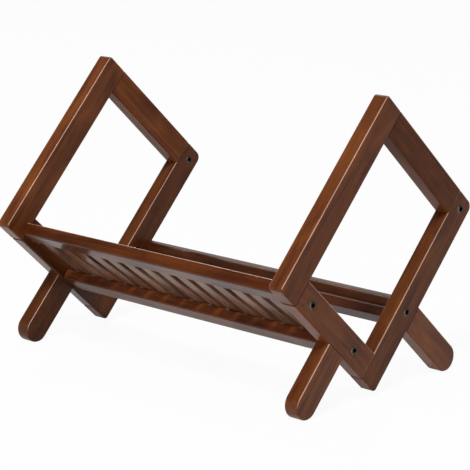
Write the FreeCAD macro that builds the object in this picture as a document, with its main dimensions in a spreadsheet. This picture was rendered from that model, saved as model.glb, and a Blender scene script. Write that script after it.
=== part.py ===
import FreeCAD, Part
import math
import os
import Sketcher

# A desktop shelf for one row of books: two square end frames stand on their corners, and a slatted
# seat and a back rail between them hold the books at a slant. Millimetres, +Z up, front at -Y.
# The origin is under the middle of the rack, on the surface that it stands on.
#
# Each frame is drawn lying in its own plane and is then leaned back. In that plane u runs from the
# front corner down and back, along the bottom rail, and v runs up and back, along the posts.
# X is measured from the frame's inner face. A body's local axes are X, u and v.

doc = FreeCAD.newDocument("desktop_shelf")

DRIVING_SIZES = [
    ("overall_length", 448, "over the outer faces of the two end frames"),
    ("stock_thickness", 19, "thickness of the frame sticks, along X"),
    ("stock_width", 32, "width of the frame sticks, in the frame's plane"),
    ("post_length", 250, "length of the front and rear posts"),
    ("frame_depth", 213, "from the front post's front to the rear post's back"),
    ("lean_angle", 43, "lean of the frames, in degrees"),
    ("edge_round", 2, "rounding along the edges of the frame sticks"),
    ("post_corner_round", 4, "rounding of the posts' end corners"),
    ("rear_top_round", 9, "rounding of the rear post's upper back corner"),
    ("corner_lift", 5.5, "height of the rear post's lowest corner over the floor"),
    ("front_foot_place", 123, "middle of the front foot along the bottom rail"),
    ("rear_foot_place", 95.5, "middle of the rear foot along the rear post"),
    ("foot_flat", 0.6, "depth of the flat that a foot's round tip stands on"),
    ("dowel_diameter", 5, "wooden dowels"),
    ("dowel_reach", 12, "depth of a dowel in each piece of a frame"),
    ("dowel_spacing", 16, "distance between the two dowels of a glued joint"),
    ("locating_offset", 10, "distance of the locating dowel from a connector stud"),
    ("stud_diameter", 5, "connector studs"),
    ("stud_grip", 26, "length of a stud in the piece that it is screwed into"),
    ("stud_tail", 3, "length of a stud past the middle of its barrel nut"),
    ("barrel_diameter", 10, "cross barrel nuts"),
    ("barrel_proud", 0.6, "height of a barrel nut over the frame's faces"),
    ("barrel_edge", 1.2, "rounding of a barrel nut's ends"),
    ("socket_width", 5.5, "hexagon socket in a barrel nut, across its corners"),
    ("socket_depth", 2.5, "depth of that socket"),
    ("front_barrel_setback", 22, "from the front post to the bottom rail's front barrel nut"),
    ("rear_barrel_setback", 33, "from the rear post to the bottom rail's rear barrel nut"),
    ("seat_tilt", 5, "angle between the seat and the bottom rails, in degrees"),
    ("seat_lap", 8, "how far the seat reaches in front of the bottom rail's front end"),
    ("seat_lift", 6.2, "height of the seat's front edge over the bottom rail's underside"),
    ("seat_rail_width", 21.5, "seat front rail, along the seat"),
    ("seat_rail_thickness", 15, "seat front rail, across the seat"),
    ("slat_count", 14, "number of slats"),
    ("slat_width", 17, "slats, along X"),
    ("slat_thickness", 9, "slats, across the seat"),
    ("slat_end_gap", 17, "gap between an end slat and the frame"),
    ("slat_overhang", 5, "length of the slats behind the batten"),
    ("slat_round", 1.5, "rounding along the edges of the slats"),
    ("tenon_length", 8, "stub tenon on a slat's front end"),
    ("tenon_shoulder", 2, "step from the slat to its tenon, on all four sides"),
    ("batten_place", 91.5, "from the seat's front to the batten's front"),
    ("batten_width", 28, "batten, along the seat"),
    ("batten_thickness", 13, "batten, across the seat"),
    ("seat_dowel_inset", 4.5, "from a seat rail's edge to its dowel"),
    ("cross_dowel_reach", 5, "depth of a cross piece's dowel in the frame"),
    ("cross_dowel_length", 20, "dowels at the ends of the cross pieces"),
    ("back_rail_lap", 6.7, "how far the back rail's nose stands in front of the rear post's back"),
    ("back_rail_lift", 8.3, "from the rear foot's lower edge to the back rail's underside"),
    ("back_rail_width", 21.7, "underside of the back rail, along the bottom rails"),
    ("back_nose_height", 12, "sloping front of the back rail's nose, along the posts"),
    ("back_ledge", 3, "level top of the nose, in front of the upright part"),
    ("back_rise", 10.2, "height of the upright part over the nose"),
    ("back_depth", 17, "upright part, from front to back"),
    ("back_brow_round", 6, "rounding of the upright part's front edge"),
    ("back_crown_round", 4, "rounding of the upright part's back edge"),
    ("back_nose_round", 5, "rounding of the nose"),
    ("back_dowel_lift", 6.7, "from the back rail's lower edge to its lower dowel"),
    ("back_dowel_spacing", 12, "distance between the two dowels at an end of the back rail"),
    ("hole_clearance", 0.05, "gap round a dowel, stud, barrel nut or tenon"),
    ("hole_relief", 0.5, "depth of a blind hole past the end of what it takes"),
]

# Sizes and places that follow from the driving ones.
DERIVED_PLACES = [
    ("inner_face", "=Sizes.overall_length / 2 - Sizes.stock_thickness"),
    ("clear_length", "=2 * inner_face"),
    ("half_width", "=Sizes.stock_width / 2"),
    ("rear_seam", "=Sizes.frame_depth - Sizes.stock_width"),
    ("upper_seam", "=Sizes.post_length - Sizes.stock_width"),
    ("top_axis", "=Sizes.post_length - half_width"),
    ("bottom_axis", "=half_width"),
    ("rear_axis", "=Sizes.frame_depth - half_width"),
    ("front_barrel", "=Sizes.stock_width + Sizes.front_barrel_setback"),
    ("rear_barrel", "=rear_seam - Sizes.rear_barrel_setback"),
    ("lean_cos", "=cos(Sizes.lean_angle)"),
    ("lean_sin", "=sin(Sizes.lean_angle)"),
    # The rear post's rounded bottom corner is the lowest point of the square, and the floor lies below it.
    ("corner_height", "=Sizes.post_corner_round * (lean_cos + lean_sin - 1) - Sizes.frame_depth * lean_sin"),
    ("floor_level", "=corner_height - Sizes.corner_lift"),
    ("tip_height", "=half_width - Sizes.foot_flat"),
    ("front_tip", "=-(floor_level + tip_height + Sizes.front_foot_place * lean_sin) / lean_cos"),
    ("rear_tip", "=(Sizes.rear_foot_place * lean_cos - tip_height - floor_level) / lean_sin"),
    # The front post's bottom corner and the rear post's upper corner are the ends of the rack in Y.
    ("front_end", "=Sizes.post_corner_round * (lean_cos + lean_sin - 1)"),
    ("rear_corner_depth", "=Sizes.frame_depth * lean_cos + Sizes.post_length * lean_sin"),
    ("rear_end", "=rear_corner_depth - Sizes.rear_top_round * (lean_cos + lean_sin - 1)"),
    ("base_y", "=-(front_end + rear_end) / 2"),
    ("base_z", "=-floor_level"),
    ("seat_front", "=Sizes.stock_width - Sizes.seat_lap"),
    ("seat_cos", "=cos(Sizes.seat_tilt)"),
    ("seat_sin", "=sin(Sizes.seat_tilt)"),
    ("slat_run", "=clear_length - 2 * Sizes.slat_end_gap - Sizes.slat_width"),
    ("slat_pitch", "=slat_run / (Sizes.slat_count - 1)"),
    ("slat_end", "=Sizes.batten_place + Sizes.batten_width + Sizes.slat_overhang"),
    ("back_rail_front", "=Sizes.frame_depth - Sizes.back_rail_lap"),
    ("back_rail_foot", "=Sizes.rear_foot_place - half_width + Sizes.back_rail_lift"),
    ("back_rail_back", "=back_rail_front + Sizes.back_rail_width"),
    ("back_nose", "=back_rail_foot + Sizes.back_nose_height"),
    ("crease_u", "=back_rail_front + Sizes.back_ledge * lean_cos"),
    ("crease_v", "=back_nose + Sizes.back_ledge * lean_sin"),
    ("brow_u", "=crease_u - Sizes.back_rise * lean_sin"),
    ("brow_v", "=crease_v + Sizes.back_rise * lean_cos"),
    ("crown_u", "=brow_u + Sizes.back_depth * lean_cos"),
    ("crown_v", "=brow_v + Sizes.back_depth * lean_sin"),
    ("back_heel", "=crown_v - (back_rail_back - crown_u) * lean_cos / lean_sin"),
    ("back_dowel", "=(Sizes.frame_depth + back_rail_back) / 2"),
    ("dowel_radius", "=Sizes.dowel_diameter / 2"),
    ("dowel_hole", "=dowel_radius + Sizes.hole_clearance"),
    ("dowel_depth", "=Sizes.dowel_reach + Sizes.hole_relief"),
    ("stud_radius", "=Sizes.stud_diameter / 2"),
    ("stud_hole", "=stud_radius + Sizes.hole_clearance"),
    ("stud_depth", "=Sizes.stud_grip + Sizes.hole_relief"),
    ("barrel_radius", "=Sizes.barrel_diameter / 2"),
    ("barrel_hole", "=barrel_radius + Sizes.hole_clearance"),
    ("barrel_length", "=Sizes.stock_thickness + 2 * Sizes.barrel_proud"),
]

sizes = doc.addObject("Spreadsheet::Sheet", "Sizes")
for row, (alias, value, note) in enumerate(DRIVING_SIZES, start=1):
    sizes.set(f"A{row}", alias)
    sizes.set(f"B{row}", str(value))
    sizes.set(f"C{row}", note)
    sizes.setAlias(f"B{row}", alias)
doc.recompute()

places = doc.addObject("Spreadsheet::Sheet", "Places")
for row, (alias, formula) in enumerate(DERIVED_PLACES, start=1):
    places.set(f"A{row}", alias)
    places.setAlias(f"B{row}", alias)
    places.set(f"B{row}", formula)
doc.recompute()

nodes = []


def stand(piece, x="0", u="0", v="0", turn="Sizes.lean_angle"):
    """Set a piece's local origin at a place in the frame's plane and lean it back by turn."""
    piece.Placement = FreeCAD.Placement(FreeCAD.Vector(), FreeCAD.Rotation(FreeCAD.Vector(-1, 0, 0), 45))
    y = f"Places.base_y + ({u}) * Places.lean_cos + ({v}) * Places.lean_sin"
    z = f"Places.base_z - ({u}) * Places.lean_sin + ({v}) * Places.lean_cos"
    for letter, place in zip("xyz", [x, y, z]):
        piece.setExpression(f"Placement.Base.{letter}", place)
    piece.setExpression("Placement.Rotation.Angle", turn)


def new_body(label):
    body = doc.addObject("PartDesign::Body", label)
    body.Label = label
    nodes.append(body)
    return body


def origin_feature(body, role):
    return [feature for feature in body.Origin.OriginFeatures if feature.Role == role][0]


def side_sketch(body):
    """A sketch in the plane across X: its axes are u and v."""
    sketch = body.newObject("Sketcher::SketchObject", body.Label + "_outline")
    sketch.AttachmentSupport = [(origin_feature(body, "YZ_Plane"), "")]
    sketch.MapMode = "FlatFace"
    return sketch


def bind(sketch, kind, places_of_it, expression):
    """Add a dimension to a sketch and tie it to the sheets."""
    value = places.evalExpression(expression)
    index = sketch.addConstraint(Sketcher.Constraint(kind, *places_of_it, value))
    sketch.setExpression(f"Constraints[{index}]", expression)


def draw_lines(sketch, points):
    """Closed outline of straight lines through the points, with its corners joined."""
    vectors = [FreeCAD.Vector(*point, 0) for point in points]
    count = len(vectors)
    for i in range(count):
        sketch.addGeometry(Part.LineSegment(vectors[i], vectors[(i + 1) % count]), False)
    for i in range(count):
        sketch.addConstraint(Sketcher.Constraint("Coincident", i, 2, (i + 1) % count, 1))


def draw_corners(sketch, corners):
    """Closed outline through corners, each given by its formulas in u and v."""
    draw_lines(sketch, [[places.evalExpression(place) for place in corner] for corner in corners])
    for line, (u, v) in enumerate(corners):
        bind(sketch, "DistanceX", (-1, 1, line, 1), u)
        bind(sketch, "DistanceY", (-1, 1, line, 1), v)


def draw_rectangle(sketch, u_low, u_high, v_low, v_high):
    """Rectangle between four places, each a formula, or None for the axis itself."""
    draw_lines(sketch, [(1, 1), (2, 1), (2, 2), (1, 2)])
    for line, kind in enumerate(["Horizontal", "Vertical", "Horizontal", "Vertical"]):
        sketch.addConstraint(Sketcher.Constraint(kind, line))
    for kind, axis, point, place in [
        ("DistanceX", -2, (0, 1), u_low),
        ("DistanceX", -2, (0, 2), u_high),
        ("DistanceY", -1, (0, 1), v_low),
        ("DistanceY", -1, (2, 1), v_high),
    ]:
        if place is None:
            sketch.addConstraint(Sketcher.Constraint("PointOnObject", *point, axis))
        else:
            bind(sketch, kind, (-1, 1, *point), place)


def pad(body, sketch, thickness, side=1):
    """Extrude an outline along X, away from the inner face on the given side."""
    feature = body.newObject("PartDesign::Pad", body.Label + "_pad")
    feature.Profile = sketch
    feature.Reversed = side < 0
    feature.setExpression("Length", thickness)
    doc.recompute()
    return feature


def edges_where(shape, test):
    return [f"Edge{i}" for i, edge in enumerate(shape.Edges, start=1) if test(edge.BoundBox)]


def along_x(box):
    return box.YLength < 0.01 and box.ZLength < 0.01


def along_u(box):
    return box.XLength < 0.01 and box.ZLength < 0.01


def on_side_face(box):
    return box.XLength < 0.01


def along_x_at(u, v):
    """Test for the edge along X through a corner of an outline."""
    at_u, at_v = places.evalExpression(u), places.evalExpression(v)
    return lambda box: along_x(box) and abs(box.YMin - at_u) < 0.01 and abs(box.ZMin - at_v) < 0.01


def round_edges(body, base, name, radius, test):
    """Round the edges of the base feature whose box passes the test."""
    feature = body.newObject("PartDesign::Fillet", f"{body.Label}_{name}")
    feature.Base = (base, edges_where(base.Shape, test))
    feature.setExpression("Radius", radius)
    doc.recompute()
    return feature


TURN_TO = {
    "x": FreeCAD.Rotation(FreeCAD.Vector(0, 1, 0), 90),
    "u": FreeCAD.Rotation(FreeCAD.Vector(1, 0, 0), -90),
    "v": FreeCAD.Rotation(),
}


def set_cylinder(cylinder, axis, radius, length, start):
    """Size a round solid or hole that runs from start along one of the local axes."""
    cylinder.Placement = FreeCAD.Placement(FreeCAD.Vector(), TURN_TO[axis])
    cylinder.setExpression("Radius", radius)
    cylinder.setExpression("Height", length)
    for letter, place in zip("xyz", start):
        cylinder.setExpression(f"Placement.Base.{letter}", place)


def bore(body, name, axis, radius, length, start):
    hole = body.newObject("PartDesign::SubtractiveCylinder", f"{body.Label}_{name}")
    set_cylinder(hole, axis, radius, length, start)


def rod(name, axis, radius, length, start):
    cylinder = doc.addObject("Part::Cylinder", name)
    set_cylinder(cylinder, axis, radius, length, start)
    return cylinder


def group(label, pieces):
    """Like fasteners share one node as a group of separate solids."""
    compound = doc.addObject("Part::Compound", label)
    compound.Label = label
    compound.Links = pieces
    nodes.append(compound)
    return compound


# Where the frame's fasteners lie. A stud and its dowels run along u, except in the front foot.
# Each dowel joint: name, direction, and where its middle lies in u and v.
FRAME_DOWELS = [
    ("front_top_low", "u", "Sizes.stock_width", "Places.top_axis - Sizes.dowel_spacing / 2"),
    ("front_top_high", "u", "Sizes.stock_width", "Places.top_axis + Sizes.dowel_spacing / 2"),
    ("front_bottom", "u", "Sizes.stock_width", "Places.bottom_axis + Sizes.locating_offset"),
    ("rear_bottom", "u", "Places.rear_seam", "Places.bottom_axis + Sizes.locating_offset"),
    ("rear_top", "u", "Places.rear_seam", "Places.top_axis - Sizes.locating_offset"),
    ("rear_foot", "u", "Sizes.frame_depth", "Sizes.rear_foot_place + Sizes.locating_offset"),
    ("front_foot_fore", "v", "Sizes.front_foot_place - Sizes.dowel_spacing / 2", "0"),
    ("front_foot_aft", "v", "Sizes.front_foot_place + Sizes.dowel_spacing / 2", "0"),
]

# Each connector: name, its height v, the seam that it pulls together, the place of its barrel nut,
# and whether the barrel nut lies behind the seam (1) or in front of it (-1).
CONNECTORS = [
    ("rear_top", "Places.top_axis", "Places.rear_seam", "Places.rear_axis", 1),
    ("rear_foot", "Sizes.rear_foot_place", "Sizes.frame_depth", "Places.rear_axis", -1),
    ("front_bottom", "Places.bottom_axis", "Sizes.stock_width", "Places.front_barrel", 1),
    ("rear_bottom", "Places.bottom_axis", "Places.rear_seam", "Places.rear_barrel", -1),
]


def half_thickness(side):
    return f"{side} * Sizes.stock_thickness / 2"


def seat_point(along, across):
    """Where a point of the tilted seat lies in the frame's plane."""
    u = f"Places.seat_front + ({along}) * Places.seat_cos - ({across}) * Places.seat_sin"
    v = f"Sizes.seat_lift + ({along}) * Places.seat_sin + ({across}) * Places.seat_cos"
    return u, v


# Each dowel of a seat rail: its rail, and where it lies along and across the seat.
SEAT_DOWELS = [
    ("rail_fore", "Sizes.seat_dowel_inset", "Sizes.seat_rail_thickness / 2"),
    ("rail_aft", "Sizes.seat_rail_width - Sizes.seat_dowel_inset", "Sizes.seat_rail_thickness / 2"),
    ("batten_fore", "Sizes.batten_place + Sizes.seat_dowel_inset", "-Sizes.batten_thickness / 2"),
    (
        "batten_aft",
        "Sizes.batten_place + Sizes.batten_width - Sizes.seat_dowel_inset",
        "-Sizes.batten_thickness / 2",
    ),
]

BACK_DOWELS = [
    ("low", "Places.back_rail_foot + Sizes.back_dowel_lift"),
    ("high", "Places.back_rail_foot + Sizes.back_dowel_lift + Sizes.back_dowel_spacing"),
]


def dowel_holes(body, side, halves):
    """Holes for the named dowels, each in this piece's half: 1 past the seam, -1 before it."""
    for name, half in halves.items():
        axis, u, v = [row[1:] for row in FRAME_DOWELS if row[0] == name][0]
        back = "" if half > 0 else " - Places.dowel_depth"
        start = [half_thickness(side), u, v]
        start["xuv".index(axis)] += back
        bore(body, name + "_dowel_hole", axis, "Places.dowel_hole", "Places.dowel_depth", start)


def stud_hole(body, side, name, half):
    """The part of a connector's stud hole before (-1) or past (1) the seam."""
    v, seam, barrel, barrel_side = [row[1:] for row in CONNECTORS if row[0] == name][0]
    if half == barrel_side:
        length = f"{half} * ({barrel} - {seam})"
        start = seam if half > 0 else barrel
    else:
        length = "Places.stud_depth"
        start = seam if half > 0 else f"{seam} - Places.stud_depth"
    bore(body, name + "_stud_hole", "u", "Places.stud_hole", length, [half_thickness(side), start, v])


def barrel_hole(body, side, name):
    v, seam, barrel, barrel_side = [row[1:] for row in CONNECTORS if row[0] == name][0]
    start = "0" if side > 0 else "-Sizes.stock_thickness"
    bore(body, name + "_barrel_hole", "x", "Places.barrel_hole", "Sizes.stock_thickness", [start, barrel, v])


def cross_dowel_hole(body, side, name, u, v):
    """Shallow hole in a frame's inner face, for a dowel of a cross piece."""
    depth = "Sizes.cross_dowel_reach"
    start = "0" if side > 0 else f"-{depth}"
    bore(body, name + "_cross_hole", "x", "Places.dowel_hole", depth, [start, u, v])


def seat_dowel_hole(body, side, name):
    along, across = [row[1:] for row in SEAT_DOWELS if row[0] == name][0]
    cross_dowel_hole(body, side, name, *seat_point(along, across))


def frame_body(hand, side, name):
    """A stick of one end frame: its local X runs outwards from the frame's inner face."""
    body = new_body(f"{hand}_{name}")
    stand(body, x=f"{side} * Places.inner_face")
    return body


def make_front_post(hand, side):
    """The front post runs through from the frame's front corner to its top end."""
    body = frame_body(hand, side, "front_post")
    sketch = side_sketch(body)
    draw_rectangle(sketch, None, "Sizes.stock_width", None, "Sizes.post_length")
    stick = pad(body, sketch, "Sizes.stock_thickness", side)
    corners = round_edges(body, stick, "corners", "Sizes.post_corner_round", along_x)
    round_edges(body, corners, "edges", "Sizes.edge_round", on_side_face)
    dowel_holes(body, side, {"front_top_low": -1, "front_top_high": -1, "front_bottom": -1})
    stud_hole(body, side, "front_bottom", -1)
    seat_dowel_hole(body, side, "rail_fore")


def make_rear_post(hand, side):
    """The rear post carries the rear foot, and its upper back corner is rounded more."""
    body = frame_body(hand, side, "rear_post")
    sketch = side_sketch(body)
    draw_rectangle(sketch, "Places.rear_seam", "Sizes.frame_depth", None, "Sizes.post_length")
    stick = pad(body, sketch, "Sizes.stock_thickness", side)
    top_back = FreeCAD.Vector(0, sizes.frame_depth, sizes.post_length)

    def is_top_back(box):
        return along_x(box) and abs(box.YMax - top_back.y) < 0.01 and abs(box.ZMax - top_back.z) < 0.01

    large = round_edges(body, stick, "top_corner", "Sizes.rear_top_round", is_top_back)

    def is_square_corner(box):
        return along_x(box) and (box.ZMax < 0.01 or box.YMax < places.rear_seam + 0.01)

    corners = round_edges(body, large, "corners", "Sizes.post_corner_round", is_square_corner)
    round_edges(body, corners, "edges", "Sizes.edge_round", on_side_face)
    dowel_holes(body, side, {"rear_bottom": 1, "rear_top": 1, "rear_foot": -1})
    stud_hole(body, side, "rear_top", 1)
    stud_hole(body, side, "rear_foot", -1)
    stud_hole(body, side, "rear_bottom", 1)
    barrel_hole(body, side, "rear_top")
    barrel_hole(body, side, "rear_foot")


def make_top_rail(hand, side):
    """The top rail butts between the posts, flush with their upper ends."""
    body = frame_body(hand, side, "top_rail")
    sketch = side_sketch(body)
    draw_rectangle(sketch, "Sizes.stock_width", "Places.rear_seam", "Places.upper_seam", "Sizes.post_length")
    stick = pad(body, sketch, "Sizes.stock_thickness", side)
    round_edges(body, stick, "edges", "Sizes.edge_round", along_u)
    dowel_holes(body, side, {"front_top_low": 1, "front_top_high": 1, "rear_top": -1})
    stud_hole(body, side, "rear_top", -1)


def make_bottom_rail(hand, side):
    """The bottom rail butts between the posts and carries the seat and the front foot."""
    body = frame_body(hand, side, "bottom_rail")
    sketch = side_sketch(body)
    draw_rectangle(sketch, "Sizes.stock_width", "Places.rear_seam", None, "Sizes.stock_width")
    stick = pad(body, sketch, "Sizes.stock_thickness", side)
    round_edges(body, stick, "edges", "Sizes.edge_round", along_u)
    dowel_holes(body, side, {"front_bottom": 1, "rear_bottom": -1, "front_foot_fore": 1, "front_foot_aft": 1})
    for name, half in [("front_bottom", 1), ("rear_bottom", -1)]:
        stud_hole(body, side, name, half)
        barrel_hole(body, side, name)
    for name in ["rail_aft", "batten_fore", "batten_aft"]:
        seat_dowel_hole(body, side, name)


def draw_round_end(sketch, run, low, high, square_end, tip):
    """Outline with a square end and a half-round end, which runs along u or -v.

    The sides lie at low and high, and tip is the middle of the half-round end. A square end of None
    lies on the axis, and along -v the tip is given as its distance from that axis.
    """
    first, second = places.evalExpression(low), places.evalExpression(high)
    end_at = 0 if square_end is None else places.evalExpression(square_end)
    tip_at = places.evalExpression(tip) * (-1 if run == "-v" else 1)
    start_turn = math.radians({"u": -90, "-v": 180}[run])

    def point(along, across):
        return FreeCAD.Vector(along, across, 0) if run == "u" else FreeCAD.Vector(across, along, 0)

    middle, radius = (first + second) / 2, abs(first - second) / 2
    circle = Part.Circle(point(tip_at, middle), FreeCAD.Vector(0, 0, 1), radius)
    sketch.addGeometry(Part.LineSegment(point(end_at, first), point(tip_at, first)), False)
    sketch.addGeometry(Part.ArcOfCircle(circle, start_turn, start_turn + math.pi), False)
    sketch.addGeometry(Part.LineSegment(point(tip_at, second), point(end_at, second)), False)
    sketch.addGeometry(Part.LineSegment(point(end_at, second), point(end_at, first)), False)
    along_kind, across_kind = ("Horizontal", "Vertical") if run == "u" else ("Vertical", "Horizontal")
    for constraint in [
        ("Tangent", 0, 2, 1, 1),
        ("Tangent", 1, 2, 2, 1),
        ("Coincident", 2, 2, 3, 1),
        ("Coincident", 3, 2, 0, 1),
        (along_kind, 0),
        (along_kind, 2),
        (across_kind, 3),
    ]:
        sketch.addConstraint(Sketcher.Constraint(*constraint))
    along_size, across_size = ("DistanceX", "DistanceY") if run == "u" else ("DistanceY", "DistanceX")
    bind(sketch, across_size, (-1, 1, 0, 1), low)
    bind(sketch, across_size, (-1, 1, 2, 2), high)
    if square_end is None:
        sketch.addConstraint(Sketcher.Constraint("PointOnObject", 0, 1, -1))
    else:
        bind(sketch, along_size, (-1, 1, 0, 1), square_end)
    bind(sketch, along_size, (1, 3, -1, 1) if run == "-v" else (-1, 1, 1, 3), tip)


def standing_flat(body, side, tip_u, tip_v):
    """Plane off the lowest strip of a foot's round tip, level with the floor."""
    block = body.newObject("PartDesign::SubtractiveBox", f"{body.Label}_standing_flat")
    block.Placement = FreeCAD.Placement(FreeCAD.Vector(), FreeCAD.Rotation(FreeCAD.Vector(1, 0, 0), 45))
    block.setExpression("Placement.Rotation.Angle", "Sizes.lean_angle")
    block.setExpression("Length", "Sizes.stock_thickness")
    block.setExpression("Width", "Sizes.stock_width")
    block.setExpression("Height", "Places.half_width")
    drop = "(Places.tip_height + Places.half_width)"
    u = f"{tip_u} - Places.half_width * Places.lean_cos + {drop} * Places.lean_sin"
    v = f"{tip_v} - Places.half_width * Places.lean_sin - {drop} * Places.lean_cos"
    block.setExpression("Placement.Base.x", "0" if side > 0 else "-Sizes.stock_thickness")
    block.setExpression("Placement.Base.y", u)
    block.setExpression("Placement.Base.z", v)


def make_front_foot(hand, side):
    """The front foot hangs from the bottom rail's underside, parallel to the posts."""
    body = frame_body(hand, side, "front_foot")
    sketch = side_sketch(body)
    low = "Sizes.front_foot_place - Places.half_width"
    high = "Sizes.front_foot_place + Places.half_width"
    draw_round_end(sketch, "-v", low, high, None, "Places.front_tip")
    stick = pad(body, sketch, "Sizes.stock_thickness", side)
    round_edges(
        body, stick, "edges", "Sizes.edge_round", lambda box: on_side_face(box) and box.ZLength > 0.01
    )
    standing_flat(body, side, "Sizes.front_foot_place", "-Places.front_tip")
    dowel_holes(body, side, {"front_foot_fore": -1, "front_foot_aft": -1})


def make_rear_foot(hand, side):
    """The rear foot runs on behind the rear post, parallel to the rails."""
    body = frame_body(hand, side, "rear_foot")
    sketch = side_sketch(body)
    low = "Sizes.rear_foot_place - Places.half_width"
    high = "Sizes.rear_foot_place + Places.half_width"
    draw_round_end(sketch, "u", low, high, "Sizes.frame_depth", "Places.rear_tip")
    stick = pad(body, sketch, "Sizes.stock_thickness", side)
    round_edges(
        body, stick, "edges", "Sizes.edge_round", lambda box: on_side_face(box) and box.YLength > 0.01
    )
    standing_flat(body, side, "Places.rear_tip", "Sizes.rear_foot_place")
    dowel_holes(body, side, {"rear_foot": 1})
    stud_hole(body, side, "rear_foot", 1)
    for name, v in BACK_DOWELS:
        cross_dowel_hole(body, side, "back_" + name, "Places.back_dowel", v)


def make_frame_dowels(hand, side):
    dowels = []
    for name, axis, u, v in FRAME_DOWELS:
        start = [half_thickness(side), u, v]
        start["xuv".index(axis)] += " - Sizes.dowel_reach"
        dowel = rod(f"{hand}_{name}_dowel", axis, "Places.dowel_radius", "2 * Sizes.dowel_reach", start)
        dowels.append(dowel)
    stand(group(f"{hand}_frame_dowels", dowels), x=f"{side} * Places.inner_face")


def make_connector_studs(hand, side):
    studs = []
    for name, v, seam, barrel, barrel_side in CONNECTORS:
        length = f"{barrel_side} * ({barrel} - {seam}) + Sizes.stud_tail + Sizes.stud_grip"
        start = f"{seam} - Sizes.stud_grip" if barrel_side > 0 else f"{barrel} - Sizes.stud_tail"
        place = [half_thickness(side), start, v]
        studs.append(rod(f"{hand}_{name}_stud", "u", "Places.stud_radius", length, place))
    stand(group(f"{hand}_connector_studs", studs), x=f"{side} * Places.inner_face")


def make_barrel_nut(hand, side, name, u, v):
    """A steel barrel across the stick, with a hexagon socket in each end and a hole for its stud."""
    body = doc.addObject("PartDesign::Body", f"{hand}_{name}_barrel_nut")
    core = body.newObject("PartDesign::AdditiveCylinder", f"{body.Label}_core")
    start = ["-Places.barrel_length / 2", "0", "0"]
    set_cylinder(core, "x", "Places.barrel_radius", "Places.barrel_length", start)
    doc.recompute()
    round_edges(body, core, "ends", "Sizes.barrel_edge", on_side_face)
    for end, place in [("inner", start[0]), ("outer", "Places.barrel_length / 2 - Sizes.socket_depth")]:
        socket = body.newObject("PartDesign::SubtractivePrism", f"{body.Label}_{end}_socket")
        socket.Polygon = 6
        socket.Placement = FreeCAD.Placement(FreeCAD.Vector(), TURN_TO["x"])
        socket.setExpression("Circumradius", "Sizes.socket_width / 2")
        socket.setExpression("Height", "Sizes.socket_depth")
        socket.setExpression("Placement.Base.x", place)
    hole_start = ["0", "-Places.barrel_radius", "0"]
    bore(body, "stud_hole", "u", "Places.stud_hole", "Sizes.barrel_diameter", hole_start)
    for letter, place in zip("xyz", [half_thickness(side), u, v]):
        body.setExpression(f"Placement.Base.{letter}", place)
    return body


def make_barrel_nuts(hand, side):
    nuts = [make_barrel_nut(hand, side, name, barrel, v) for name, v, seam, barrel, barrel_side in CONNECTORS]
    stand(group(f"{hand}_barrel_nuts", nuts), x=f"{side} * Places.inner_face")


def stand_in_seat(piece, x):
    stand(piece, x, "Places.seat_front", "Sizes.seat_lift", "Sizes.lean_angle - Sizes.seat_tilt")


def seat_end_holes(body, names):
    """Dowel holes in both ends of a seat rail, whose local X runs from its left end."""
    for name, along, across in SEAT_DOWELS:
        if name in names:
            end_holes(body, name, along, across)


def end_holes(body, name, along, across):
    depth = "Sizes.cross_dowel_length - Sizes.cross_dowel_reach + Sizes.hole_relief"
    bore(body, name + "_left_hole", "x", "Places.dowel_hole", depth, ["0", along, across])
    start = f"Places.clear_length - ({depth})"
    bore(body, name + "_right_hole", "x", "Places.dowel_hole", depth, [start, along, across])


def make_seat_front_rail():
    """The seat's front rail takes the slats in a row of mortises in its back edge."""
    body = new_body("seat_front_rail")
    sketch = side_sketch(body)
    draw_rectangle(sketch, None, "Sizes.seat_rail_width", None, "Sizes.seat_rail_thickness")
    stick = pad(body, sketch, "Places.clear_length")
    # The edge that the slats are flush with stays sharp.
    round_edges(
        body, stick, "edges", "Sizes.edge_round",
        lambda box: along_x(box) and (box.YMax < 0.01 or box.ZMin > 0.01),
    )
    mortise = body.newObject("PartDesign::SubtractiveBox", "slat_mortise")
    step = "(Sizes.tenon_shoulder - Sizes.hole_clearance)"
    mortise.setExpression("Length", f"Sizes.slat_width - 2 * {step}")
    mortise.setExpression("Width", "Sizes.tenon_length + Sizes.hole_relief")
    mortise.setExpression("Height", f"Sizes.slat_thickness - 2 * {step}")
    mortise.setExpression("Placement.Base.x", f"Sizes.slat_end_gap + {step}")
    depth = "(Sizes.tenon_length + Sizes.hole_relief)"
    mortise.setExpression("Placement.Base.y", f"Sizes.seat_rail_width - {depth}")
    mortise.setExpression("Placement.Base.z", step)
    doc.recompute()
    row = body.newObject("PartDesign::LinearPattern", "slat_mortises")
    row.Originals = [mortise]
    row.Direction = (origin_feature(body, "X_Axis"), [""])
    row.setExpression("Length", "Places.slat_run")
    row.setExpression("Occurrences", "Sizes.slat_count")
    body.Tip = row
    doc.recompute()
    seat_end_holes(body, ["rail_fore", "rail_aft"])
    stand_in_seat(body, "-Places.inner_face")


def make_seat_batten():
    """The batten lies under the slats near their back ends."""
    body = new_body("seat_batten")
    sketch = side_sketch(body)
    back = "Sizes.batten_place + Sizes.batten_width"
    draw_rectangle(sketch, "Sizes.batten_place", back, "-Sizes.batten_thickness", None)
    stick = pad(body, sketch, "Places.clear_length")
    round_edges(body, stick, "edges", "Sizes.edge_round", along_x)
    seat_end_holes(body, ["batten_fore", "batten_aft"])
    stand_in_seat(body, "-Places.inner_face")


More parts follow.
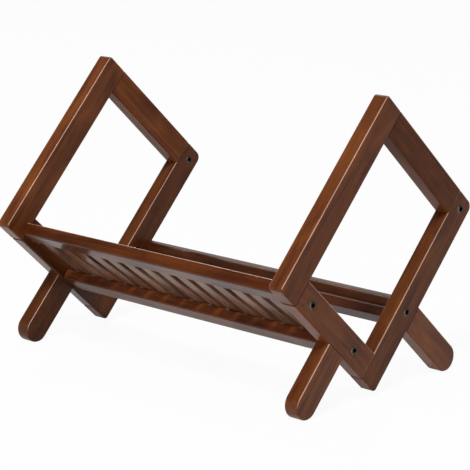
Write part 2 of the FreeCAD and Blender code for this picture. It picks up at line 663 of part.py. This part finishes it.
def make_seat_slat(index):
    """A slat lies on the batten, flush with the front rail's underside, and its tenon enters that rail."""
    body = new_body(f"seat_slat_{index + 1:02d}")
    sketch = side_sketch(body)
    draw_rectangle(sketch, "Sizes.seat_rail_width", "Places.slat_end", None, "Sizes.slat_thickness")
    stick = pad(body, sketch, "Sizes.slat_width")
    round_edges(body, stick, "edges", "Sizes.slat_round", along_u)
    tenon = body.newObject("PartDesign::AdditiveBox", f"{body.Label}_tenon")
    tenon.setExpression("Length", "Sizes.slat_width - 2 * Sizes.tenon_shoulder")
    tenon.setExpression("Width", "Sizes.tenon_length")
    tenon.setExpression("Height", "Sizes.slat_thickness - 2 * Sizes.tenon_shoulder")
    tenon.setExpression("Placement.Base.x", "Sizes.tenon_shoulder")
    tenon.setExpression("Placement.Base.y", "Sizes.seat_rail_width - Sizes.tenon_length")
    tenon.setExpression("Placement.Base.z", "Sizes.tenon_shoulder")
    stand_in_seat(body, f"Sizes.slat_end_gap - Places.inner_face + {index} * Places.slat_pitch")


def make_back_rail():
    """The back rail stops the books: an upright part with a round front edge, over a sloping nose.

    It is one moulded stick between the rear posts and feet. The nose slopes with the posts.
    """
    body = new_body("back_rail")
    sketch = side_sketch(body)
    front, foot, back = "Places.back_rail_front", "Places.back_rail_foot", "Places.back_rail_back"
    nose, crease = (front, "Places.back_nose"), ("Places.crease_u", "Places.crease_v")
    brow, crown = ("Places.brow_u", "Places.brow_v"), ("Places.crown_u", "Places.crown_v")
    draw_corners(sketch, [(front, foot), (back, foot), (back, "Places.back_heel"), crown, brow, crease, nose])
    stick = pad(body, sketch, "Places.clear_length")
    for name, corners, radius in [
        ("brow", [brow], "Sizes.back_brow_round"),
        ("crown", [crown], "Sizes.back_crown_round"),
        ("nose", [nose], "Sizes.back_nose_round"),
        ("lower", [(front, foot), (back, foot)], "Sizes.edge_round"),
    ]:
        tests = [along_x_at(*corner) for corner in corners]
        stick = round_edges(body, stick, name, radius, lambda box: any(test(box) for test in tests))
    for name, v in BACK_DOWELS:
        end_holes(body, name, "Places.back_dowel", v)
    stand(body, "-Places.inner_face")


def end_dowels(name, along, across):
    """The pair of dowels at the two ends of a cross piece."""
    inner = "Sizes.cross_dowel_length - Sizes.cross_dowel_reach"
    starts = {
        "left": "-Places.inner_face - Sizes.cross_dowel_reach",
        "right": f"Places.inner_face - ({inner})",
    }
    pair = []
    for end, start in starts.items():
        place = [start, along, across]
        pair.append(rod(f"{name}_{end}", "x", "Places.dowel_radius", "Sizes.cross_dowel_length", place))
    return pair


def make_seat_dowels():
    dowels = []
    for name, along, across in SEAT_DOWELS:
        dowels += end_dowels(name + "_dowel", along, across)
    stand_in_seat(group("seat_dowels", dowels), "0")


def make_back_rail_dowels():
    dowels = []
    for name, v in BACK_DOWELS:
        dowels += end_dowels(f"back_{name}_dowel", "Places.back_dowel", v)
    stand(group("back_rail_dowels", dowels))


for hand, side in [("left", -1), ("right", 1)]:
    make_front_post(hand, side)
    make_rear_post(hand, side)
    make_top_rail(hand, side)
    make_bottom_rail(hand, side)
    make_front_foot(hand, side)
    make_rear_foot(hand, side)
    make_frame_dowels(hand, side)
    make_connector_studs(hand, side)
    make_barrel_nuts(hand, side)

make_seat_front_rail()
make_seat_batten()
for index in range(int(sizes.slat_count)):
    make_seat_slat(index)
make_back_rail()
make_seat_dowels()
make_back_rail_dowels()
doc.recompute()

for piece in doc.Objects:
    if "Invalid" in piece.State or "Error" in piece.State:
        raise RuntimeError(f"{piece.Label} failed: {piece.State}")
for node in nodes:
    if node.Shape.isNull() or not node.Shape.isValid():
        raise RuntimeError(f"{node.Label} has no valid shape")

os.makedirs("parts", exist_ok=True)
for node in nodes:
    node.Shape.exportStep(f"parts/{node.Label}.step")
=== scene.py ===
import math

import bpy
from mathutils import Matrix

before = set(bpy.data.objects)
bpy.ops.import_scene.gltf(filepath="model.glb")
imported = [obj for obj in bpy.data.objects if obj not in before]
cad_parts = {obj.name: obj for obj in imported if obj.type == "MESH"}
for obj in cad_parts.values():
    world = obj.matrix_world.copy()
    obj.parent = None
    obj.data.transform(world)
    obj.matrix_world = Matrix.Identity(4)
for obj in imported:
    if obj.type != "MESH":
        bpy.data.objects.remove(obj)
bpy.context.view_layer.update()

# Front posts. The long sticks at the front of the two end frames, each a plain hardwood stick with
# eased edges and rounded end corners. Stained walnut brown and sprayed with clear satin lacquer.
# Both rails of a frame meet its back face: the top rail with glued dowels, the bottom one bolted.

MM = 0.001
LEAN = math.radians(43)
ALONG_RACK, ALONG_RAIL, ALONG_POST = 0, 1, 2
WALNUT_STAIN = ("#45210e", "#592d14", "#653618", "#75401a")
# Paler colour of the rounded upper edges: partly wear, partly a painted highlight.
WORN_AND_HIGHLIT_EDGE = "#d8ab93"
LEAST_WEAR_AND_HIGHLIGHT, MOST_WEAR_AND_HIGHLIGHT = 0.5, 0.85
PORE_DEPTH = 0.2 * MM
PORE_RELIEF = 0.06
WOOD_IOR = 1.45
WOOD_SPECULAR = 0.08
DARK_ROUGHNESS, LIGHT_ROUGHNESS = 0.46, 0.34
LACQUER_IOR = 1.2
SATIN_COAT = 0.18
# Width across and length along the grain in mm, detail, distortion, and share of the whole pattern.
# Real pores are about 0.1 mm wide. They are drawn coarser, so that they show.
CLOUDY_STAIN = (26, 60, 2.0, 0.4, 0.38)
GROWTH_FIGURE = (11, 150, 3.0, 0.9, 0.30)
FINE_STREAKS = (2.4, 110, 4.0, 0.3, 0.22)
PORES = (0.7, 14, 2.0, 0.0, 0.10)
# Where dark and light grain, and the four colours of a stain, lie in the whole pattern.
DARK_GRAIN, LIGHT_GRAIN = 0.38, 0.62
STAIN_PLACES = (0.38, 0.47, 0.54, 0.64)
# Most of a single layer of noise lies between these.
NOISE_LOW, NOISE_HIGH = 0.3, 0.7
# The product of the squares of a normal's two parts is 0 on both faces and 0.25 halfway round an edge.
EDGE_BEGINS, EDGE_MIDDLE = 0.17, 0.24
# An edge is painted paler the further up it faces, until its normal's Z reaches this:
# partly wear from hands, partly a painted highlight from the lamps above.
FULLY_PALE_AT_Z = 0.4


def linear(hex_colour, tone=1.0):
    """An sRGB hex colour as linear RGBA, made lighter or darker by tone."""
    channels = [int(hex_colour[i:i + 2], 16) / 255 for i in (1, 3, 5)]
    return [tone * (c / 12.92 if c <= 0.04045 else ((c + 0.055) / 1.055) ** 2.4) for c in channels] + [1.0]


def add_node(tree, kind, settings=None, stops=(), **inputs):
    """Add a node with its properties and its inputs, and with the stops of its ramp, if it has one.

    An input is set or linked by its name, or by its number after an i. A stop is a place and a colour.
    """
    node = tree.nodes.new(kind)
    for name, value in (settings or {}).items():
        setattr(node, name, value)
    while stops and len(node.color_ramp.elements) < len(stops):
        node.color_ramp.elements.new(0.5)
    for number, (place, colour) in enumerate(stops):
        node.color_ramp.elements[number].position = place
        node.color_ramp.elements[number].color = colour
    for name, value in inputs.items():
        numbered = name[0] == "i" and name[1:].isdigit()
        socket = node.inputs[int(name[1:]) if numbered else name.replace("_", " ")]
        if isinstance(value, bpy.types.NodeSocket):
            tree.links.new(value, socket)
        else:
            socket.default_value = value
    return node


def new_material(name):
    material = bpy.data.materials.new(name)
    material.use_nodes = True
    material.node_tree.nodes.clear()
    return material, material.node_tree


def rounded_edges(tree, normal, edge):
    """1 in the middle of a rounded edge, and 0 on faces, where the normal's part along edge is 0 or 1."""
    part = add_node(tree, "ShaderNodeSeparateXYZ", Vector=normal).outputs[edge]
    square = add_node(tree, "ShaderNodeMath", {"operation": "MULTIPLY"}, i0=part, i1=part).outputs[0]
    rest = add_node(tree, "ShaderNodeMath", {"operation": "SUBTRACT"}, i0=1.0, i1=square).outputs[0]
    hump = add_node(tree, "ShaderNodeMath", {"operation": "MULTIPLY"}, i0=square, i1=rest).outputs[0]
    return add_node(
        tree, "ShaderNodeMapRange", Value=hump, From_Min=EDGE_BEGINS, From_Max=EDGE_MIDDLE
    ).outputs[0]


def lacquered_wood(
    name, grain, edge, turn, shift, colours, edge_wear_and_highlight, tone=1.0, coat_weight=1.0, coat_roughness=SATIN_COAT
):
    """Stained hardwood under clear lacquer, planed, eased by sanding and sprayed.

    It gives the eye a soft mottled brown with faint streaks along the grain, paler along the rounded
    upper edges, partly from wear and partly as a painted highlight, and a smooth sheen that is strong
    only at a low angle. For that the clear coat's IOR is lower than a real lacquer's 1.5.
    """
    material, tree = new_material(name)
    coordinates = add_node(tree, "ShaderNodeTexCoord")
    turned = add_node(
        tree, "ShaderNodeMapping",
        Vector=coordinates.outputs["Object"], Rotation=(turn, 0, 0), Location=shift,
    )
    stain = 0.0
    layers = []
    for across, along, detail, distortion, share in (CLOUDY_STAIN, GROWTH_FIGURE, FINE_STREAKS, PORES):
        scale = [1 / (across * MM)] * 3
        scale[grain] = 1 / (along * MM)
        stretched = add_node(tree, "ShaderNodeMapping", Vector=turned.outputs[0], Scale=scale)
        noise = add_node(
            tree, "ShaderNodeTexNoise", Vector=stretched.outputs[0],
            Scale=1.0, Detail=detail, Roughness=0.55, Distortion=distortion,
        )
        layers.append(noise.outputs["Fac"])
        stain = add_node(
            tree, "ShaderNodeMath", {"operation": "MULTIPLY_ADD"}, i0=layers[-1], i1=share, i2=stain
        ).outputs[0]
    stops = list(zip(STAIN_PLACES, [linear(c, tone) for c in colours]))
    tint = add_node(tree, "ShaderNodeValToRGB", stops=stops, Fac=stain).outputs[0]

    normal = add_node(
        tree, "ShaderNodeMapping", {"vector_type": "VECTOR"},
        Vector=coordinates.outputs["Normal"], Rotation=(turn, 0, 0),
    )
    rounded = rounded_edges(tree, normal.outputs[0], edge)
    upward = add_node(tree, "ShaderNodeSeparateXYZ", Vector=coordinates.outputs["Normal"]).outputs["Z"]
    upward_paling = add_node(
        tree, "ShaderNodeMapRange", Value=upward, From_Min=0.0, From_Max=FULLY_PALE_AT_Z
    ).outputs[0]
    patchy = add_node(
        tree, "ShaderNodeMapRange", Value=layers[0],
        From_Min=NOISE_LOW, From_Max=NOISE_HIGH, To_Min=LEAST_WEAR_AND_HIGHLIGHT, To_Max=MOST_WEAR_AND_HIGHLIGHT,
    ).outputs[0]
    # Pale rounded upper edges: partly wear from hands, partly a painted highlight from the lamps.
    worn_and_highlit = add_node(tree, "ShaderNodeMath", {"operation": "MULTIPLY"}, i0=rounded, i1=patchy).outputs[0]
    edge_paling = add_node(tree, "ShaderNodeMath", {"operation": "MULTIPLY"}, i0=worn_and_highlit, i1=upward_paling).outputs[0]
    colour = add_node(
        tree, "ShaderNodeMix", {"data_type": "RGBA"}, i0=edge_paling, i6=tint, i7=linear(edge_wear_and_highlight)
    ).outputs[2]

    gloss = add_node(
        tree, "ShaderNodeMapRange", Value=stain,
        From_Min=DARK_GRAIN, From_Max=LIGHT_GRAIN, To_Min=DARK_ROUGHNESS, To_Max=LIGHT_ROUGHNESS,
    ).outputs[0]
    bump = add_node(
        tree, "ShaderNodeBump", Strength=PORE_RELIEF, Distance=PORE_DEPTH, Height=stain
    ).outputs[0]
    shader = add_node(
        tree, "ShaderNodeBsdfPrincipled", Base_Color=colour, Roughness=gloss, Normal=bump,
        IOR=WOOD_IOR, Specular_IOR_Level=WOOD_SPECULAR,
        Coat_Weight=coat_weight, Coat_Roughness=coat_roughness, Coat_IOR=LACQUER_IOR,
    )
    add_node(tree, "ShaderNodeOutputMaterial", Surface=shader.outputs[0])
    return material


def give(node_name, material):
    """Put a material in a CAD node's slot."""
    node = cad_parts[node_name]
    node.data.materials.clear()
    node.data.materials.append(material)


def stain_stick(node_name, grain, shift, tone, coat_weight):
    """Finish a stick of an end frame. Each has its own stretch of the pattern, tone and lacquer film.
    A low tone on a stick that stands in shade is painted shade.
    """
    wood = lacquered_wood(
        f"walnut_stained_lacquered_{node_name}", grain, ALONG_RACK, LEAN, shift,
        WALNUT_STAIN, WORN_AND_HIGHLIT_EDGE, tone, coat_weight,
    )
    give(node_name, wood)


stain_stick("left_front_post", ALONG_POST, shift=(0.31, 0.12, 1.59), tone=1.12, coat_weight=0.7)
stain_stick("right_front_post", ALONG_POST, shift=(0.77, 0.41, 1.22), tone=1.06, coat_weight=0.7)

# Rear posts. The same sticks at the back of the frames, with the upper back corner rounded more.
# Connectors and locating dowels join each one to its top rail, bottom rail and rear foot.

stain_stick("left_rear_post", ALONG_POST, shift=(0.15, 0.63, 0.54), tone=0.84, coat_weight=0.5)
stain_stick("right_rear_post", ALONG_POST, shift=(0.52, 0.08, 1.36), tone=0.90, coat_weight=0.6)

# Top rails. Short sticks of the same stained hardwood between the posts, flush with their upper
# ends: dowelled and glued to the front post, and pulled to the rear post by a connector.

stain_stick("left_top_rail", ALONG_RAIL, shift=(0.83, 0.95, 0.36), tone=1.22, coat_weight=0.3)
stain_stick("right_top_rail", ALONG_RAIL, shift=(0.24, 1.36, 0.58), tone=0.80, coat_weight=0.3)

# Bottom rails. Like the top rails, at the lower ends of the posts. They carry the seat on dowels, and
# a connector at each end pulls them to the posts.

# The left bottom rail's low tone is painted shade: its inner face lies in the shade between the frames.
stain_stick("left_bottom_rail", ALONG_RAIL, shift=(0.66, 0.19, 0.73), tone=0.62, coat_weight=1.0)
stain_stick("right_bottom_rail", ALONG_RAIL, shift=(0.09, 3.00, 0.17), tone=1.14, coat_weight=0.8)

# Front feet. Round-tipped sticks of the same stained hardwood under the bottom rails, in line with the
# posts, dowelled and glued. A narrow flat is planed on each tip, where it stands.

# The left front foot's low tone is painted shade: its inner face lies in the shade under the seat.
stain_stick("left_front_foot", ALONG_POST, shift=(0.47, 0.95, 0.95), tone=0.62, coat_weight=0.7)
stain_stick("right_front_foot", ALONG_POST, shift=(0.18, 0.73, 0.04), tone=1.06, coat_weight=1.0)

# Rear feet. The same round-tipped sticks behind the rear posts, in line with the rails, each held by a
# connector and a locating dowel.

stain_stick("left_rear_foot", ALONG_RAIL, shift=(0.93, 0.46, 0.22), tone=0.96, coat_weight=0.8)
stain_stick("right_rear_foot", ALONG_RAIL, shift=(0.58, 0.13, 0.68), tone=1.18, coat_weight=0.9)

# Seat front rail. A stick of the same hardwood across the front of the rack, dowelled to the frames, with
# a row of mortises in its back edge. Its stain has taken darker than on the frames.

SEAT_TURN = LEAN - math.radians(5)
DARK_WALNUT_STAIN = ("#381707", "#46200b", "#55290f", "#663415")


def stain_cross_piece(node_name, turn, shift, edge_wear_and_highlight, tone, coat_roughness):
    """Finish a piece that runs along the rack, with its grain and its rounded edges along it."""
    wood = lacquered_wood(
        f"dark_walnut_stained_lacquered_{node_name}", ALONG_RACK, ALONG_RAIL, turn, shift,
        DARK_WALNUT_STAIN, edge_wear_and_highlight, tone, coat_roughness=coat_roughness,
    )
    give(node_name, wood)


stain_cross_piece(
    "seat_front_rail", SEAT_TURN, shift=(0.40, 0.10, 0.05),
    edge_wear_and_highlight=WORN_AND_HIGHLIT_EDGE, tone=1.0, coat_roughness=SATIN_COAT,
)

# Seat slats. Thin strips of the same wood that slope back from the front rail, each with a stub tenon
# in one of its mortises, glued down on the batten. Their stain is paler than the frames', and their
# edges are eased a little.

PALE_WALNUT_STAIN = ("#43281a", "#603f2d", "#71503d", "#85624e")
SLAT_SHIFTS = ((0.20, 0.60, 0.10), (0.72, 0.15, 0.43), (0.35, 0.88, 0.76))
SLAT_TONE_STEP = 0.08
slat_woods = [
    lacquered_wood(
        f"pale_walnut_stained_lacquered_slat_{number}", ALONG_RAIL, ALONG_RACK, SEAT_TURN, shift,
        PALE_WALNUT_STAIN, WORN_AND_HIGHLIT_EDGE, tone=1.0 + SLAT_TONE_STEP * number,
    )
    for number, shift in enumerate(SLAT_SHIFTS)
]
slats = sorted(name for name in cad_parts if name.startswith("seat_slat_"))
for number, name in enumerate(slats):
    give(name, slat_woods[number % len(slat_woods)])

# Seat batten. A flat stick of the dark stained wood across the rack under the slats' back ends, dowelled
# to the bottom rails. Its upper edges, under the slats, are painted hardly paler: little wear and no
# painted highlight.

# Edge colour close to the stain: almost no paler wear and no painted highlight.
FAINT_WEAR_AND_HIGHLIGHT = "#5a2c12"
MATT_COAT = 0.4
stain_cross_piece(
    "seat_batten", SEAT_TURN, shift=(0.90, 0.20, 0.30),
    edge_wear_and_highlight=FAINT_WEAR_AND_HIGHLIGHT, tone=1.15, coat_roughness=MATT_COAT,
)

# Back rail. A moulded stick across the back that stops the books: a sloping nose, which laps the rear
# posts, with an upright part over it. It is planed to its section and dowelled into the rear feet. Its
# faces lie at many angles, so its edges' wear and painted highlight reach only the tone of the lighter
# grain.

stain_cross_piece(
    "back_rail", LEAN, shift=(0.70, 0.30, 0.20),
    edge_wear_and_highlight=FAINT_WEAR_AND_HIGHLIGHT, tone=0.8, coat_roughness=MATT_COAT,
)

# Barrel nuts. Short steel barrels across the sticks, turned, drilled for a stud and plated dark
# bronze. A hexagon socket shows in each end.

DARK_BRONZE = ("#2b2521", "#463e38")
# Paler colour on the rims of the nuts: a painted highlight.
BRONZE_RIM_HIGHLIGHT = "#94877b"
PLATING_PLACES = (0.35, 0.65)
PLATING_DEPTH = 0.05 * MM
PLATING_RELIEF = 0.05
PLATING_SHINE, PLATING_HAZE = 0.06, 0.08


def plated_steel(name, colours, rim_highlight, roughness, spot_mm):
    """Plated steel, turned and dipped.

    It gives the eye an even metal sheen, slightly clouded by the plating bath, with a painted highlight on
    the rims.
    """
    material, tree = new_material(name)
    coordinates = add_node(tree, "ShaderNodeTexCoord")
    clouds = add_node(
        tree, "ShaderNodeTexNoise",
        Vector=coordinates.outputs["Object"], Scale=1 / (spot_mm * MM), Detail=3.0,
    ).outputs["Fac"]
    stops = list(zip(PLATING_PLACES, [linear(c) for c in colours]))
    tint = add_node(tree, "ShaderNodeValToRGB", stops=stops, Fac=clouds).outputs[0]
    highlit_rims = rounded_edges(tree, coordinates.outputs["Normal"], ALONG_RACK)
    colour = add_node(
        tree, "ShaderNodeMix", {"data_type": "RGBA"}, i0=highlit_rims, i6=tint, i7=linear(rim_highlight)
    ).outputs[2]
    gloss = add_node(
        tree, "ShaderNodeMapRange", Value=clouds,
        From_Min=NOISE_LOW, From_Max=NOISE_HIGH,
        To_Min=roughness - PLATING_SHINE, To_Max=roughness + PLATING_HAZE,
    ).outputs[0]
    bump = add_node(
        tree, "ShaderNodeBump", Strength=PLATING_RELIEF, Distance=PLATING_DEPTH, Height=clouds
    ).outputs[0]
    shader = add_node(
        tree, "ShaderNodeBsdfPrincipled", Base_Color=colour, Roughness=gloss, Normal=bump, Metallic=1.0
    )
    add_node(tree, "ShaderNodeOutputMaterial", Surface=shader.outputs[0])
    return material


bronze = plated_steel("dark_bronze_plated_steel", DARK_BRONZE, BRONZE_RIM_HIGHLIGHT, roughness=0.16, spot_mm=2.0)
for hand in ("left", "right"):
    give(f"{hand}_barrel_nuts", bronze)

# Connector studs. Steel rods inside the sticks, screwed into one piece and pulled by the barrel nut in
# the other. Zinc plated.

ZINC = ("#9a9a98", "#bdbdba")
# Paler colour on the rims of the studs: a painted highlight.
ZINC_RIM_HIGHLIGHT = "#d0d0cd"
zinc = plated_steel("zinc_plated_steel", ZINC, ZINC_RIM_HIGHLIGHT, roughness=0.38, spot_mm=3.0)
for hand in ("left", "right"):
    give(f"{hand}_connector_studs", zinc)

# Dowels. Bare turned beech pins, glued in blind holes. They lie inside the sticks, so they show only
# when the rack is taken apart. Bare beech gives the eye an even, dull tan with fine streaks.

BEECH = ("#a9825a", "#bf9870", "#c9a47d", "#d6b48f")
# Paler colour of the dowels' rounded upper edges: partly wear, partly a painted highlight.
BEECH_WORN_AND_HIGHLIT_EDGE = "#dcbc98"
beech = lacquered_wood(
    "bare_beech", ALONG_RAIL, ALONG_RACK, LEAN, (0, 0, 0), BEECH, BEECH_WORN_AND_HIGHLIT_EDGE, coat_weight=0.0
)
for name in ("left_frame_dowels", "right_frame_dowels", "seat_dowels", "back_rail_dowels"):
    give(name, beech)

# Studio lights. A soft box high over the front lights the sloping fronts and draws a bright line along
# the posts' edges. A wide low one reaches under the seat, and one at the left back lights upper edges.

MIDDLE_HEIGHT = 0.15


def add_softbox(name, place, size, power):
    """A square lamp, in metres and watts, that points at the middle of the rack."""
    lamp = bpy.data.lights.new(name, "AREA")
    lamp.shape = "SQUARE"
    lamp.size = size
    lamp.energy = power
    box = bpy.data.objects.new(name, lamp)
    box.location = place
    aim = -box.location
    aim.z += MIDDLE_HEIGHT
    box.rotation_euler = aim.to_track_quat("-Z", "Y").to_euler()
    bpy.context.scene.collection.objects.link(box)


add_softbox("key_softbox", place=(1.30, -2.39, 4.42), size=1.1, power=178)
add_softbox("fill_softbox", place=(0.40, -3.88, 0.80), size=2.0, power=55)
add_softbox("rim_softbox", place=(-3.10, 1.50, 3.64), size=0.8, power=45)

# Room. A weak even light from all sides. The camera, and rays through glass, see it plain white, and the
# lacquer mirrors its white walls and its dark ceiling.

WHITE = "#ffffff"
FILL = 0.22
CEILING_GLOW = 0.1
# How steeply a ray points up, as the Z of its direction, where the walls end and the ceiling begins.
WALLS_END, CEILING_BEGINS = 0.25, 0.50


def seen_plainly(tree):
    """1 for rays from the camera or through glass, 0 for all others."""
    path = add_node(tree, "ShaderNodeLightPath")
    return add_node(
        tree, "ShaderNodeMath", {"operation": "MAXIMUM"},
        i0=path.outputs["Is Camera Ray"], i1=path.outputs["Is Transmission Ray"],
    ).outputs[0]


world = bpy.data.worlds.new("white_room")
world.use_nodes = True
tree = world.node_tree
tree.nodes.clear()
direction = add_node(tree, "ShaderNodeTexCoord").outputs["Generated"]
height = add_node(tree, "ShaderNodeSeparateXYZ", Vector=direction).outputs["Z"]
walls = add_node(
    tree, "ShaderNodeMapRange", Value=height,
    From_Min=WALLS_END, From_Max=CEILING_BEGINS, To_Min=1.0, To_Max=CEILING_GLOW,
).outputs[0]
glossy = add_node(tree, "ShaderNodeLightPath").outputs["Is Glossy Ray"]
mirrored = add_node(tree, "ShaderNodeMix", i0=glossy, i2=FILL, i3=walls).outputs[0]
strength = add_node(
    tree, "ShaderNodeMath", {"operation": "MAXIMUM"}, i0=mirrored, i1=seen_plainly(tree)
).outputs[0]
room = add_node(tree, "ShaderNodeBackground", Color=linear(WHITE), Strength=strength)
add_node(tree, "ShaderNodeOutputWorld", Surface=room.outputs[0])
bpy.context.scene.world = world

# Floor. A wide sheet of pale paper that keeps a faint shadow of the rack. The camera sees it white, and
# the lacquer mirrors it a little darker under the rack.

FLOOR_SIZE = 30
PAPER = "#eeeeee"
GLOW = 0.94
MIRRORED_GLOW = 0.35
bpy.ops.object.select_all(action="DESELECT")
bpy.ops.mesh.primitive_plane_add(size=FLOOR_SIZE)
floor = bpy.context.object
floor.name = "floor"
paper, tree = new_material("white_paper")
matte = add_node(tree, "ShaderNodeBsdfDiffuse", Color=linear(PAPER))
white = add_node(tree, "ShaderNodeEmission", Color=linear(WHITE), Strength=1.0)
glossy = add_node(tree, "ShaderNodeLightPath").outputs["Is Glossy Ray"]
mirrored = add_node(
    tree, "ShaderNodeMath", {"operation": "MULTIPLY"}, i0=glossy, i1=MIRRORED_GLOW
).outputs[0]
share = add_node(
    tree, "ShaderNodeMath", {"operation": "MULTIPLY_ADD"}, i0=seen_plainly(tree), i1=GLOW, i2=mirrored
).outputs[0]
mix = add_node(tree, "ShaderNodeMixShader", Fac=share, i1=matte.outputs[0], i2=white.outputs[0])
add_node(tree, "ShaderNodeOutputMaterial", Surface=mix.outputs[0])
floor.data.materials.append(paper)

# Camera. At the photograph's angle, above the right front and looking a little down. Its place and lens
# were fitted to the edges of the sticks in the photograph.

LENS_MM = 148.83
CAMERA_PLACE = (1.5019, -1.5938, 0.6599)
# Degrees below level, and to the left of straight back.
LOOKS_DOWN, LOOKS_LEFT = 13.254, 43.146
FARTHEST_SEEN = 50
camera_data = bpy.data.cameras.new("camera")
camera_data.lens = LENS_MM
camera_data.clip_end = FARTHEST_SEEN
camera = bpy.data.objects.new("camera", camera_data)
camera.location = CAMERA_PLACE
camera.rotation_euler = (math.radians(90 - LOOKS_DOWN), 0, math.radians(LOOKS_LEFT))
bpy.context.scene.collection.objects.link(camera)
bpy.context.scene.camera = camera
bpy.context.scene.view_settings.view_transform = "Standard"
